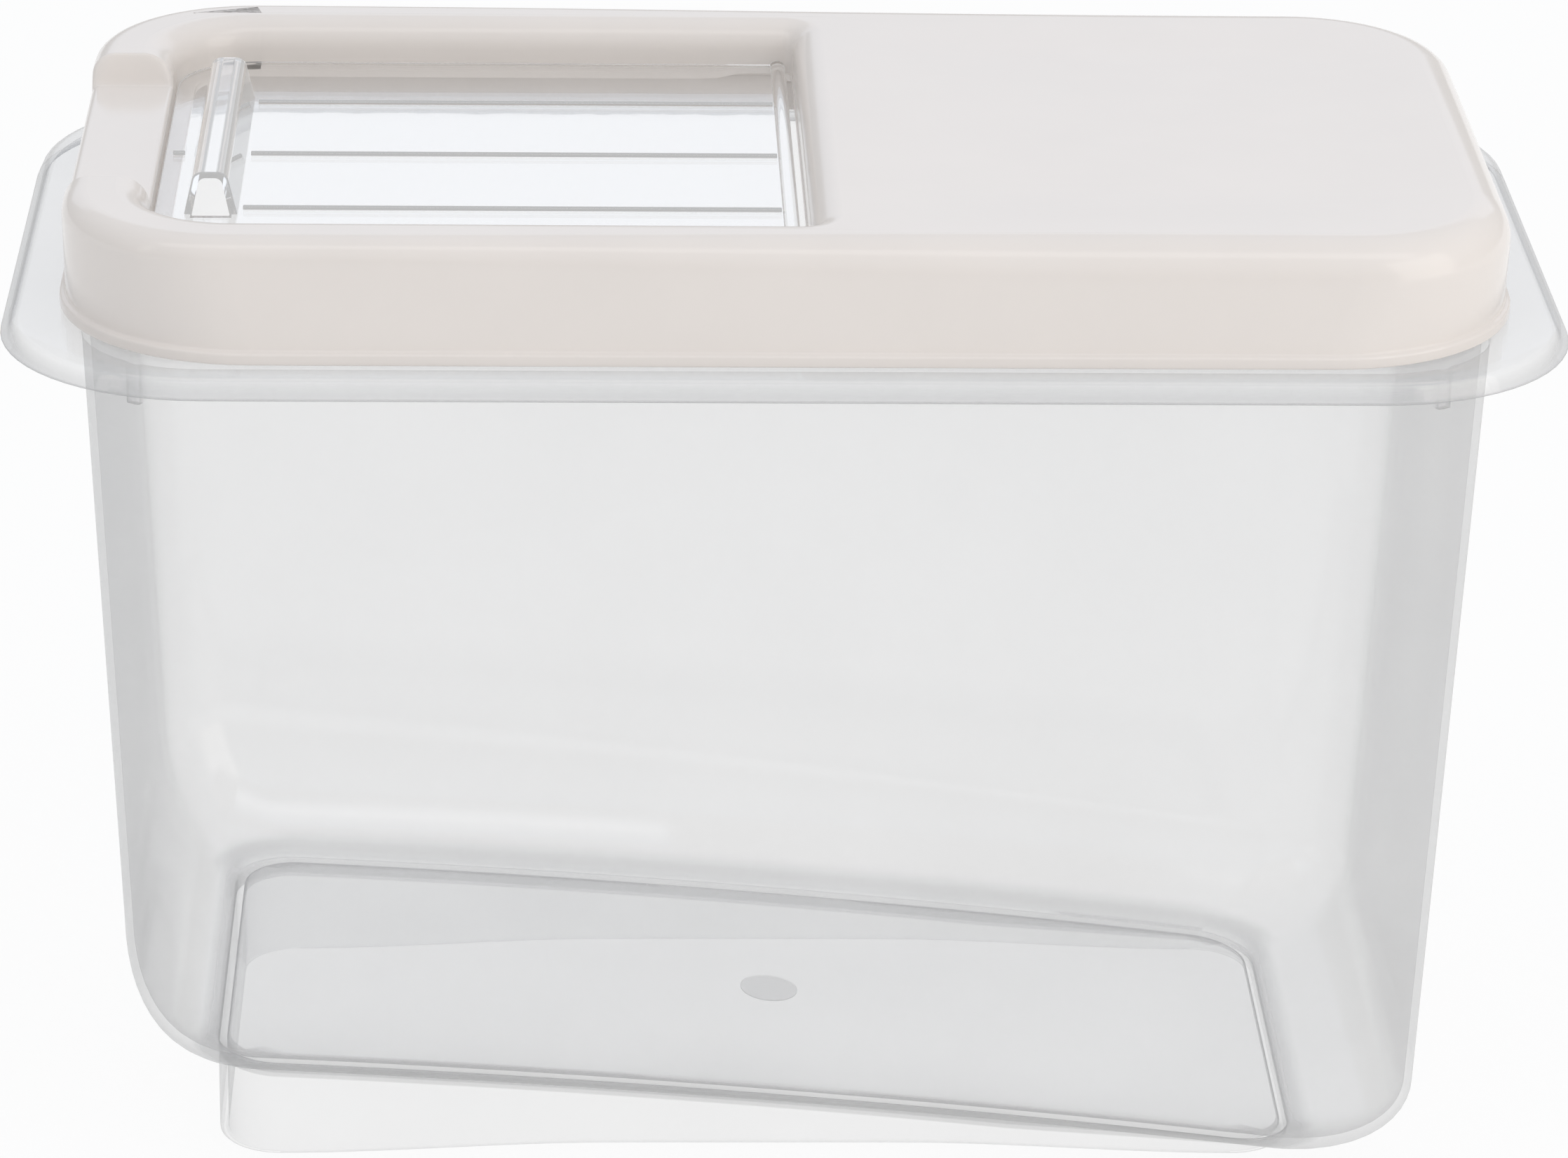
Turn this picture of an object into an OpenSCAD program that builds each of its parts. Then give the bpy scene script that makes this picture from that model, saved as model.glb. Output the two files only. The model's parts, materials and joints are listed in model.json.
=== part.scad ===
// Rice bin with a flip lid: a clear moulded tub, a white lid that lifts off, and a clear hinged flap.
// Millimetres. X runs along the bin with the closed half of the lid at +X, Y runs to the back, Z is up.
// The origin is on the table, under the middle of the bin.

/* [Tub walls] */
// Height of the flange's top face, which is the seat of the lid
seat_h = 228; // [200:1:260]
// Half length of the tub wall at the seat
tub_half_l = 170; // [168:0.1:170.5]
// Half width of the tub wall at the seat
tub_half_w = 94; // [92:0.1:94.4]
// Radius of the upright corners at the seat
tub_corner = 30; // [26:1:36]
// Draft of the walls, in degrees
tub_draft = 2.4; // [1:0.1:3]
// Thickness of the tub wall
tub_wall = 2.0; // [1.6:0.1:2.6]
// Height of the rounding between wall and floor at the raised end of the floor
bottom_round = 41; // [24:1:44]
// Height of the same rounding at the low end
low_round = 22; // [18:1:36]

/* [Tub floor and foot] */
// Height of the floor's underside at the middle of the bin
floor_mid_h = 17.5; // [15:0.5:22]
// Fall of the floor towards +X, in degrees
floor_tilt = 5.1; // [3:0.1:5.4]
// Radius of the slight bow of the floor along the bin
floor_bow = 3100; // [2600:50:6000]
// Thickness of the floor
floor_t = 2.4; // [2:0.1:3]
// Half length of the foot ring
foot_half_l = 137.3; // [130:0.1:138]
// Half width of the foot ring
foot_half_w = 61; // [56:0.5:66]
// Offset of the foot ring towards +X
foot_shift = -4.5; // [-5:0.5:0]
// Corner radius of the foot ring
foot_corner = 16; // [14:1:24]
// Thickness of the foot ring
foot_wall = 2.2; // [1.8:0.1:3]
// Rise of the foot ring's long edges between its corners
foot_arch = 3; // [0.5:0.1:3.5]
// Share of the foot's half length over which the rise keeps its full height
arch_flat = 0.3; // [0.1:0.05:0.5]
// Share of the foot's half width at which the rise begins
arch_side = 0.6; // [0.5:0.05:0.65]
// Share of the foot's half width over which the rise grows
arch_run = 0.3; // [0.2:0.05:0.35]
// Diameter of the round gate mark under the floor
gate_d = 15; // [10:0.5:20]
// Depth of the gate mark
gate_t = 0.5; // [0.3:0.1:0.8]

/* [Tub rim] */
// Half length over the flange at the top of its skirt
flange_half_l = 187.8; // [185:0.1:189]
// Half width over the flange at the top of its skirt
flange_half_w = 104; // [103:0.1:105]
// Corner radius of the flange at the top of its skirt
flange_corner = 48; // [44:1:54]
// Thickness of the flange
flange_t = 2.2; // [1.8:0.1:2.6]
// Drop of the skirt below the flange's top face
skirt_drop = 6; // [5:0.1:9]
// Outward flare of the skirt
skirt_flare = 2.5; // [1:0.1:4]
// Thickness of the skirt
skirt_t = 1.8; // [1.4:0.1:2.2]
// Radius of the wide shoulder between the flange's flat top and its skirt
flange_round = 4; // [2.5:0.1:4.5]
// Distance that the shoulder stands out over the top of the skirt
flange_lip = 1.2; // [0.8:0.1:1.4]
// Height of the upright rim inside the lid
rim_h = 9; // [6:0.5:12]
// Gap between the upright rim and the lid's skirt
rim_gap = 0.8; // [0.5:0.1:1.2]
// Width of a stacking rib
rib_w = 3.6; // [3:0.2:6]
// Length of a stacking rib below the flange's top face
rib_drop = 12.5; // [11:0.5:14]
// Distance that a stacking rib stands out from the wall
rib_out = 2; // [1.5:0.5:4]
// Turn of the stacking ribs away from the bin's length, in degrees
rib_turn = 59; // [40:1:65]

/* [Lid] */
// Half length of the lid over its lower band
lid_half_l = 176; // [175:0.1:177]
// Half width of the lid over its lower band
lid_half_w = 99; // [98.5:0.1:100]
// Corner radius of the lower band
lid_corner = 48; // [44:1:52]
// Height of the lid's top above the seat
lid_h = 30.2; // [28:0.1:33]
// Height of the lower band
band_h = 3; // [2:0.1:5]
// Distance that the lower band stands proud
band_out = 1.4; // [0.8:0.1:2]
// Height of the small slope above the lower band
band_slope = 0.6; // [0.3:0.1:1.2]
// Inward lean of the lid's long sides over their height
side_lean = 2.4; // [1:0.1:3]
// Inward lean of the lid's ends over their height
end_lean = 0; // [0:0.1:1]
// Rounding between the lid's sides and its top, at the flap's end
lid_round = 6; // [5:0.1:8]
// Softer rounding at the closed end
closed_round = 10; // [7:0.1:14]
// Rounding of the saddle's outer edge
saddle_round = 2; // [1:0.1:4]
// Wall thickness of the lid
lid_wall = 2.2; // [1.8:0.1:2.6]
// Gap between the lid's lower edge and the seat
seat_gap = 0.3; // [0.2:0.1:0.5]
// Fall of the lid's top from its middle line to its long edges
crown_h = 0.4; // [0.2:0.1:1]
// Depth of the soft dish in the closed half
dish_depth = 1.6; // [0.5:0.1:2.5]
// Share of the closed half's length over which the dish sinks, from the window
dish_start = 0.3; // [0.2:0.05:0.4]
// Share of the closed half's length over which it rises again at the closed end
dish_end = 0.25; // [0.15:0.05:0.4]
// Share of the closed half's half width over which it rises at the sides
dish_side = 0.45; // [0.3:0.05:0.6]
// Depth of the finger saddle at the flap's free end
saddle_depth = 7.9; // [6:0.1:8.5]
// Half width of the finger saddle at its floor
saddle_half_w = 45; // [40:0.5:47]
// Run of the saddle's end slopes
saddle_slope = 3.6; // [2.6:0.2:6]
// Distance past the window's left edge at which the saddle starts to rise
saddle_lead = 1; // [0.5:0.5:2]
// Run of this rise along the bin
saddle_run = 6; // [4:0.5:8]
// Distance from the window's left edge over which the outer rounding stays at its smaller size
round_hold_left = 34; // [20:1:60]
// Distance from the closed end over which the outer rounding keeps its full size
round_hold_right = 76; // [60:1:100]

/* [Lid window] */
// Window's left edge
window_left = -154; // [-156:0.5:-150]
// Window's right edge, beside the hinge
window_right = 5; // [4.5:0.5:12]
// Half width of the window
window_half_w = 76; // [72:0.5:77]
// Corner radius at the window's left end
window_corner = 21; // [16:1:24]
// Corner radius at the window's right end
window_small_corner = 3; // [2.4:0.2:4]
// Rounding between the window's wall and the top
window_round = 7.5; // [5:0.5:8]
// The same rounding at the floor of the saddle
saddle_edge_round = 1.2; // [0.8:0.1:1.8]
// Width of the ledge that carries the flap
ledge_w = 5; // [4:0.5:7]
// Thickness of the ledge
ledge_t = 2; // [1.5:0.1:2.5]
// Width that the ledge keeps beside the hinge
ledge_hinge_w = 0.4; // [0.3:0.1:1]
// Distance from the hinge at which the ledge starts to narrow
ledge_end = 14; // [10:1:20]
// Length over which it narrows
ledge_taper = 6; // [4:0.5:8]
// Gap between the flap and what surrounds it
flap_gap = 0.6; // [0.4:0.1:0.8]
// Gap between the hinge barrel and the closed half, in which the flap swings past upright
hinge_gap = 2; // [1.8:0.1:2.6]

/* [Flap and hinge] */
// Height of the flap's upper face above the seat
flap_top = 19.4; // [19:0.1:21]
// Thickness of the flap
flap_t = 2.2; // [1.8:0.1:2.4]
// Radius of the hinge barrel
barrel_r = 2.1; // [1.8:0.1:2.3]
// Radius of the hinge pins
pin_r = 1.5; // [1.2:0.1:1.7]
// Length of each hinge pin beyond the flap
pin_l = 4; // [3:0.5:5]
// Clearance round the hinge pins
pin_gap = 0.25; // [0.15:0.05:0.4]
// Outer radius of the hinge bosses
boss_r = 4; // [3.4:0.1:4.4]
// Wall beyond the blind end of each pin's bore
boss_end = 1.6; // [1:0.1:2.5]
// Number of stiffening beads
bead_n = 3; // [1:1:5]
// Distance between the beads
bead_pitch = 41; // [20:1:41]
// Radius of a bead
bead_r = 0.9; // [0.7:0.1:1]
// Length of the short bead between the grip and the flap's free end
stub_l = 3; // [2:0.5:4]
// Distance from the flap's free end to the middle of the grip
grip_in = 13.8; // [12:0.2:18]
// Width of the grip at its foot
grip_base_w = 13.4; // [11:0.2:15]
// Width of the grip at its top
grip_top_w = 9; // [7.6:0.2:10]
// Height of the grip above the flap
grip_h = 10.7; // [9:0.1:12]
// Length of the grip across the flap
grip_l = 91; // [80:1:96]
// Wall thickness of the grip
grip_wall = 1.5; // [1.4:0.1:2]
// Rounding of the grip's top edges
grip_round = 2.6; // [2:0.1:2.8]

/* [Hidden] */
$fn = 48;
eps = 0.01;

arc_n = 7;
long_n = 10;
short_n = 12;
slope_n = 6;
quad_sx = [1, -1, -1, 1];
quad_sy = [1, 1, -1, -1];

draft_k = tan(tub_draft);
rim_in = band_out + lid_wall + rim_gap + side_lean * rim_h / (lid_h - closed_round);
rim_half_l = lid_half_l - rim_in;
rim_half_w = lid_half_w - rim_in;
rim_corner = lid_corner - rim_in;
side_straight = window_half_w - window_corner;
round_left = window_left + round_hold_left;
round_right = lid_half_l - round_hold_right;
lid_top_z = seat_h + lid_h;
flap_z = seat_h + flap_top;
hinge_x = window_right - hinge_gap - barrel_r;
hinge_z = flap_z - flap_t / 2;
flap_left = window_left + flap_gap;
flap_half_w = window_half_w - flap_gap;
grip_x = flap_left + grip_in;

// Shares of a side, from -1 at its first corner to 1 at its second. They crowd at the corners, and on the
// left side at the slopes of the saddle.
function even_shares(n) = [for (i = [1:n - 1]) sin(180 * i / n - 90)];
slope_shares = [for (i = [0:slope_n]) (saddle_half_w + saddle_slope * i / slope_n) / side_straight];
saddle_shares = concat(
    [for (i = [0:slope_n]) -slope_shares[slope_n - i]],
    [for (i = [-2:2]) i / 4],
    slope_shares
);
side_shares = [even_shares(long_n), saddle_shares, even_shares(long_n), even_shares(short_n)];

// Each vertex of a ring is a slot: its corner, and its angle on the corner or its share of the side after it.
slots = [
    for (q = [0:3])
        each concat(
            [for (i = [0:arc_n]) [q, 0, 90 * (q + i / arc_n)]],
            [for (u = side_shares[q]) [q, 1, u]]
        )
];
ring_n = len(slots);

// One point of a rounded rectangle of half sizes a and b, with corner radii r.
function corner_mid(q, a, b, r) = [quad_sx[q] * (a - r[q]), quad_sy[q] * (b - r[q])];
function corner_point(q, t, a, b, r) = corner_mid(q, a, b, r) + r[q] * [cos(t), sin(t)];
function slot_point(s, a, b, r) =
    s[1] == 0
    ? corner_point(s[0], s[2], a, b, r)
    : let (
          q2 = (s[0] + 1) % 4,
          turn = 90 * (s[0] + 1),
          p = corner_point(s[0], turn, a, b, r),
          k = corner_point(q2, turn, a, b, r)
      )
      p + (k - p) * (s[2] + 1) / 2;
function same(r) = [r, r, r, r];
function blend(a, b, t) = a + (b - a) * t;
function ease(t) = let (c = min(1, max(0, t))) c * c * (3 - 2 * c);

// Faces between neighbouring rings of n points, and fans that close the first and the last ring.
function band_faces(i, k, n) = [
    for (j = [0:n - 1])
        let (m = (j + 1) % n)
            each [[i * n + j, k * n + j, k * n + m], [i * n + j, k * n + m, i * n + m]]
];
module skin_capped(rings, first, last) {
    n = len(rings[0]);
    c = len(rings);
    pts = concat([for (r = rings) each r], [first, last]);
    bands = [for (i = [0:c - 2]) each band_faces(i, i + 1, n)];
    fan_a = [for (j = [0:n - 1]) [c * n, j, (j + 1) % n]];
    fan_b = [for (j = [0:n - 1]) [c * n + 1, (c - 1) * n + (j + 1) % n, (c - 1) * n + j]];
    polyhedron(points = pts, faces = concat(bands, fan_a, fan_b), convexity = 8);
}
module skin_closed(rings) {
    n = len(rings[0]);
    c = len(rings);
    pts = [for (r = rings) each r];
    bands = [for (i = [0:c - 1]) each band_faces(i, (i + 1) % c, n)];
    polyhedron(points = pts, faces = bands, convexity = 8);
}

// Heights and outlines of the tub.
function floor_z(x) = floor_mid_h - x * tan(floor_tilt) - x * x / (2 * floor_bow);
function arch_z(x, y) =
    let (
        u = abs(x - foot_shift) / (foot_half_l - foot_corner),
        v = abs(y) / foot_half_w
    )
    foot_arch * (1 - ease((u - arch_flat) / (1 - arch_flat))) * ease((v - arch_side) / arch_run);
function wall_point(s, z, inset) =
    let (d = (seat_h - z) * draft_k + inset)
    slot_point(s, tub_half_l - d, tub_half_w - d, same(tub_corner - d));
function foot_point(s, inset) =
    [foot_shift, 0] + slot_point(s, foot_half_l - inset, foot_half_w - inset, same(foot_corner - inset));

// Ring of the tub's wall at height z.
function wall_ring(z, inset) = [for (s = slots) let (p = wall_point(s, z, inset)) [p.x, p.y, z]];
// Ring of the foot, on the underside of the floor raised by lift, or on its own lower edge.
function foot_floor_ring(inset, share, lift) = [
    for (s = slots)
        let (
            c = [foot_shift, 0],
            p = c + (foot_point(s, inset) - c) * share
        )
        [p.x, p.y, floor_z(p.x) + lift]
];
function foot_edge_ring(inset) = [
    for (s = slots)
        let (p = foot_point(s, inset)) [p.x, p.y, arch_z(p.x, p.y)]
];
// Ring on the rounding between floor and wall: turn is 0 at the foot and 90 at the wall.
function round_ring(turn, lift, inset) = [
    for (s = slots)
        let (
            f = foot_point(s, inset),
            zf = floor_z(f.x) + lift,
            rise = blend(bottom_round, low_round, 0.5 + f.x / (2 * foot_half_l)) - lift,
            w = wall_point(s, zf + rise, inset),
            p = blend(f, w, sin(turn))
        )
        [p.x, p.y, blend(zf, zf + rise, 1 - cos(turn))]
];
// Ring of the flange or its skirt: out is measured from the flange's size at the top of its skirt.
function flange_ring(out, drop) = [
    for (s = slots)
        let (p = slot_point(s, flange_half_l + out, flange_half_w + out, same(flange_corner + out)))
            [p.x, p.y, seat_h - drop]
];
function rim_ring(inset, z) = [
    for (s = slots)
        let (p = slot_point(s, rim_half_l - inset, rim_half_w - inset, same(rim_corner - inset)))
            [p.x, p.y, z]
];

round_steps = [18, 36, 54, 72, 90];
edge_steps = [25, 47, 68, 90];
cap_shares = [0.25, 0.65];

module tub_shell() {
    top_z = seat_h - flange_t;
    rings = concat(
        [for (k = cap_shares) foot_floor_ring(foot_wall, k, 0)],
        [foot_floor_ring(foot_wall, 1, 0)],
        [foot_edge_ring(foot_wall)],
        [foot_edge_ring(0)],
        [foot_floor_ring(0, 1, 0)],
        [for (t = round_steps) round_ring(t, 0, 0)],
        [wall_ring(top_z, 0)],
        [flange_ring(-skirt_t, flange_t)],
        [flange_ring(skirt_flare - skirt_t, skirt_drop)],
        [flange_ring(skirt_flare, skirt_drop)],
        [for (t = edge_steps) flange_ring(flange_round * (cos(t) - 1) + flange_lip, flange_round * (1 - sin(t)))],
        [rim_ring(0, seat_h)],
        [rim_ring(0, seat_h + rim_h)],
        [rim_ring(tub_wall, seat_h + rim_h)],
        [rim_ring(tub_wall, seat_h)],
        [wall_ring(top_z, tub_wall)],
        [for (i = [1:len(round_steps)]) round_ring(round_steps[len(round_steps) - i], floor_t, tub_wall)],
        [foot_floor_ring(tub_wall, 1, floor_t)],
        [for (i = [1:len(cap_shares)]) foot_floor_ring(tub_wall, cap_shares[len(cap_shares) - i], floor_t)]
    );
    mid_z = floor_z(foot_shift);
    skin_capped(rings, [foot_shift, 0, mid_z], [foot_shift, 0, mid_z + floor_t]);
}

// A small upright block under the flange, standing on the rounded corner of the wall.
module stacking_rib(sx, sy) {
    z_low = seat_h - rib_drop;
    d = rib_drop * draft_k;
    mid = [tub_half_l - tub_corner, tub_half_w - tub_corner];
    translate([sx * mid.x, sy * mid.y, z_low])
        rotate([0, 0, sx > 0 ? sy * rib_turn : sy * (180 - rib_turn)])
            translate([tub_corner - d - tub_wall / 2, -rib_w / 2, 0])
                cube([rib_out + tub_wall / 2, rib_w, rib_drop - flange_t / 2]);
}

module tub() {
    color([0.88, 0.89, 0.89, 0.5]) {
        tub_shell();
        for (sx = [-1, 1], sy = [-1, 1])
            stacking_rib(sx, sy);
        translate([0, 0, floor_z(0) - gate_t])
            rotate([0, floor_tilt, 0])
                cylinder(d = gate_d, h = gate_t + floor_t / 2);
    }
}

// Rounding of the lid's outer edge, which grows from the flap's end to the closed end.
function side_round(x) = blend(lid_round, closed_round, ease((x - round_left) / (round_right - round_left)));

// Heights of the lid's upper face.
function saddle_at(x, y) =
    (1 - ease((abs(y) - saddle_half_w) / saddle_slope)) * (1 - ease((x - window_left - saddle_lead) / saddle_run));
function dish_at(x, y) =
    let (
        u = (x - window_right - window_round) / (lid_half_l - band_out - lid_round - window_right - window_round),
        v = abs(y) / (lid_half_w - band_out - side_lean - lid_round)
    )
    u < 0 ? 0 : ease(u / dish_start) * ease((1 - u) / dish_end) * ease((1 - v) / dish_side);
function crown_at(x, y) = crown_h * pow(y / lid_half_w, 2) * (1 + ease((x - window_left) / (2 * lid_half_l)));
function top_z(x, y) = lid_top_z - saddle_depth * saddle_at(x, y) - dish_depth * dish_at(x, y) - crown_at(x, y);

window_half_l = (window_right - window_left) / 2;
window_mid = (window_right + window_left) / 2;
window_radii = [window_small_corner, window_corner, window_corner, window_small_corner];
function window_point(s, out) =
    [window_mid, 0]
    + slot_point(s, window_half_l + out, window_half_w + out, [for (r = window_radii) max(r + out, 0.5)]);
function lid_point(s, inset) =
    slot_point(s, lid_half_l - inset, lid_half_w - inset, same(lid_corner - inset));
// Outline at the top of the sides, where the lean is complete and the corners are tightest.
side_corner = lid_half_w - band_out - side_lean - side_straight;
function side_point(s, inset) =
    slot_point(
        s,
        lid_half_l - band_out - end_lean - inset,
        lid_half_w - band_out - side_lean - inset,
        same(side_corner - inset)
    );

// Ring of the lid's skirt, measured in from its lower band.
function skirt_ring(inset, z) = [for (s = slots) let (p = lid_point(s, inset)) [p.x, p.y, z]];
// Ring on the rounding of the lid's outer edge, which tightens where the saddle lowers the top.
function edge_ring(turn, skin) = [
    for (s = slots)
        let (
            side = side_point(s, 0),
            full = side_round(side.x),
            flat = side_point(s, full),
            low = saddle_at(flat.x, flat.y),
            r = max(blend(full, saddle_round, low) - skin, 0.5),
            p = side_point(s, skin + r * (1 - sin(turn))),
            z = lid_top_z - saddle_depth * low - crown_at(flat.x, flat.y) - skin - r * (1 - cos(turn))
        )
        [p.x, p.y, z]
];
// Ring on the rounding of the window's edge. There is no rounding where the saddle meets the window.
function window_edge_ring(turn, skin) = [
    for (s = slots)
        let (
            base = window_point(s, 0),
            low = saddle_at(base.x, base.y),
            r = blend(window_round, saddle_edge_round, low),
            p = window_point(s, skin + (r - skin * (1 - low)) * (1 - cos(turn))),
            z = lid_top_z - saddle_depth * low - crown_at(base.x, base.y) - skin
                - (r - skin * (1 - low)) * (1 - sin(turn))
        )
        [p.x, p.y, z]
];
// Ring part of the way across the top, from the window's edge to the outer rounding.
function top_ring(share, skin) = [
    for (i = [0:ring_n - 1])
        let (
            a = window_edge_ring(90, skin)[i],
            b = edge_ring(0, skin)[i],
            p = blend(a, b, share)
        )
        [p.x, p.y, top_z(p.x, p.y) - skin]
];
// The ledge is narrow beside the hinge, where the barrel turns.
function ledge_ring(z) = [
    for (s = slots)
        let (
            base = window_point(s, 0),
            w = blend(ledge_w, ledge_hinge_w, ease((base.x - hinge_x + ledge_end) / ledge_taper)),
            p = window_point(s, -w)
        )
        [p.x, p.y, z]
];
function window_ring(out, z) = [for (s = slots) let (p = window_point(s, out)) [p.x, p.y, z]];

window_steps = [0, 22.5, 45, 67.5, 90];
top_shares = [0.1, 0.22, 0.36, 0.5, 0.64, 0.78, 0.9];
lid_steps = [0, 18, 36, 54, 72, 90];

module lid_shell() {
    ledge_z = flap_z - flap_t - seat_gap;
    low_z = seat_h + seat_gap;
    rings = concat(
        [ledge_ring(ledge_z - ledge_t)],
        [ledge_ring(ledge_z)],
        [window_ring(0, ledge_z)],
        [for (t = window_steps) window_edge_ring(t, 0)],
        [for (k = top_shares) top_ring(k, 0)],
        [for (t = lid_steps) edge_ring(t, 0)],
        [skirt_ring(band_out, seat_h + band_h + band_slope)],
        [skirt_ring(0, seat_h + band_h)],
        [skirt_ring(0, low_z)],
        [skirt_ring(band_out + lid_wall, low_z)],
        [for (i = [1:len(lid_steps)]) edge_ring(lid_steps[len(lid_steps) - i], lid_wall)],
        [for (i = [1:len(top_shares)]) top_ring(top_shares[len(top_shares) - i], lid_wall)],
        [for (i = [1:len(window_steps)]) window_edge_ring(window_steps[len(window_steps) - i], lid_wall)],
        [window_ring(lid_wall, ledge_z - ledge_t)]
    );
    skin_closed(rings);
}

// A round boss on the outside of the window's wall, with a blind bore for the flap's pin.
module hinge_boss_at(sy) {
    translate([hinge_x, sy * window_half_w, hinge_z])
        rotate([-90 * sy, 0, 0])
            children();
}

module lid_cover() {
    color([0.93, 0.92, 0.9])
        difference() {
            union() {
                lid_shell();
                for (sy = [-1, 1])
                    hinge_boss_at(sy)
                        translate([0, 0, eps])
                            cylinder(r = boss_r, h = pin_l + boss_end);
            }
            for (sy = [-1, 1])
                hinge_boss_at(sy)
                    translate([0, 0, -window_small_corner])
                        cylinder(r = pin_r + pin_gap, h = pin_l + window_small_corner);
        }
}

module flap_outline() {
    r = window_corner - flap_gap;
    mid = flap_left + r;
    polygon([
        [mid, -flap_half_w],
        [hinge_x, -flap_half_w],
        [hinge_x, flap_half_w],
        [mid, flap_half_w]
    ]);
    for (sy = [-1, 1])
        translate([mid, sy * (flap_half_w - r)])
            circle(r = r);
    translate([flap_left, r - flap_half_w])
        square([r, 2 * (flap_half_w - r)]);
}

// Section of the grip: straight flanks that lean in, and a flat top with round edges.
module grip_section(inset, low) {
    base = grip_base_w / 2 - inset;
    top = grip_top_w / 2 - inset;
    r = grip_round - inset / 2;
    h = grip_h - inset;
    polygon([[-base, low], [base, low], [top, h - r], [-top, h - r]]);
    translate([-(top - r), h - r - eps])
        square([2 * (top - r), r + eps]);
    for (sx = [-1, 1])
        translate([sx * (top - r), h - r])
            circle(r = r);
}
module grip_solid(inset, low, extra) {
    translate([grip_x, grip_l / 2 + extra, flap_z])
        rotate([90, 0, 0])
            linear_extrude(height = grip_l + 2 * extra)
                grip_section(inset, low);
}

module bead(x0, x1, y) {
    translate([x0, y, flap_z])
        rotate([0, 90, 0])
            cylinder(r = bead_r, h = x1 - x0);
}

module flip_flap() {
    bead_left = grip_x + grip_base_w / 2 + bead_r;
    stub_mid = (flap_left + grip_x - grip_base_w / 2) / 2;
    color([0.93, 0.94, 0.95, 0.35]) {
        difference() {
            union() {
                translate([0, 0, flap_z - flap_t])
                    linear_extrude(height = flap_t)
                        flap_outline();
                grip_solid(0, -flap_t / 2, 0);
            }
            grip_solid(grip_wall, -flap_t - 1, 1);
        }
        for (i = [0:bead_n - 1])
            bead(bead_left, hinge_x - barrel_r, (i - (bead_n - 1) / 2) * bead_pitch);
        bead(stub_mid - stub_l / 2, stub_mid + stub_l / 2, 0);
        translate([hinge_x, flap_half_w, hinge_z])
            rotate([90, 0, 0])
                cylinder(r = barrel_r, h = 2 * flap_half_w);
        translate([hinge_x, window_half_w + pin_l - flap_gap, hinge_z])
            rotate([90, 0, 0])
                cylinder(r = pin_r, h = 2 * (window_half_w + pin_l - flap_gap));
    }
}

tub();
lid_cover();
flip_flap();
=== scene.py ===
# Rice bin with a flip lid. Builds the finished look of a clear moulded tub, a white lid and a clear flap
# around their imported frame, with a floor, lamps and a camera. Blender's metres are used all through.

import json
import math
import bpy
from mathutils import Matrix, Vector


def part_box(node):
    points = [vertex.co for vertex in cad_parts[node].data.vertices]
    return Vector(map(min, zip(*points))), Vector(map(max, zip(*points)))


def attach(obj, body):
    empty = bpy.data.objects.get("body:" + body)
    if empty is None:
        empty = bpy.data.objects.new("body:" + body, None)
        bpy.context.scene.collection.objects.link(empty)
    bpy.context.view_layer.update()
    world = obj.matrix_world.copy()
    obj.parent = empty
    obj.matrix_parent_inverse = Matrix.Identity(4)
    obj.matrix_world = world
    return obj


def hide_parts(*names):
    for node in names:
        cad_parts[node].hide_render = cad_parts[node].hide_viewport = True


bl_info = {
    "name": "Rice bin with flip lid",
    "version": (1, 0, 0),
    "blender": (4, 5, 0),
    "location": "View3D > Sidebar > Rice bin",
    "description": "Builds a clear rice bin with a white lid and a clear hinged flap",
    "category": "Object",
}

import bmesh
import bpy
import numpy as np
from bpy.props import FloatProperty, FloatVectorProperty, IntProperty, PointerProperty
from mathutils import Matrix, Vector

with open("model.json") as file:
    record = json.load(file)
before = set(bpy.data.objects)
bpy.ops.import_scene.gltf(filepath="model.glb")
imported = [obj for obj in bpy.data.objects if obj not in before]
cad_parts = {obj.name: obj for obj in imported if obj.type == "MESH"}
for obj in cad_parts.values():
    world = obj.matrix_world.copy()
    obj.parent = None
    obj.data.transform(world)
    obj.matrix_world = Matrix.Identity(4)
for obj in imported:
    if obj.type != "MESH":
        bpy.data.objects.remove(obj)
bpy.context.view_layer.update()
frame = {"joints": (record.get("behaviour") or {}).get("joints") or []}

MM = 0.001
TUB_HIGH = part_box("tub")[1]
LID_LOW, LID_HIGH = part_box("lid_cover")
FLAP_LOW, FLAP_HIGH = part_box("flip_flap")
HINGE = next(j for j in frame["joints"] if j["name"] == "flap_hinge")["pos_m"]


def hex_colour(code):
    """A colour written as an sRGB hex value, as linear red, green and blue."""
    parts = [int(code[i : i + 2], 16) / 255 for i in (1, 3, 5)]
    return tuple(c / 12.92 if c <= 0.04045 else ((c + 0.055) / 1.055) ** 2.4 for c in parts)


def length(name, description, default):
    return FloatProperty(name=name, description=description, default=default, unit="LENGTH", precision=5)


def angle(name, description, degrees):
    return FloatProperty(name=name, description=description, default=math.radians(degrees), unit="ROTATION")


def power(name, description, default):
    return FloatProperty(name=name, description=description, default=default, min=0, unit="POWER")


def share(name, description, default):
    return FloatProperty(name=name, description=description, default=default, min=0, max=1, subtype="FACTOR")


def colour(name, description, code):
    return FloatVectorProperty(
        name=name, description=description, default=hex_colour(code), min=0, max=1, size=3, subtype="COLOR"
    )


# Sizes, from the frame where it gives them.


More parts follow.
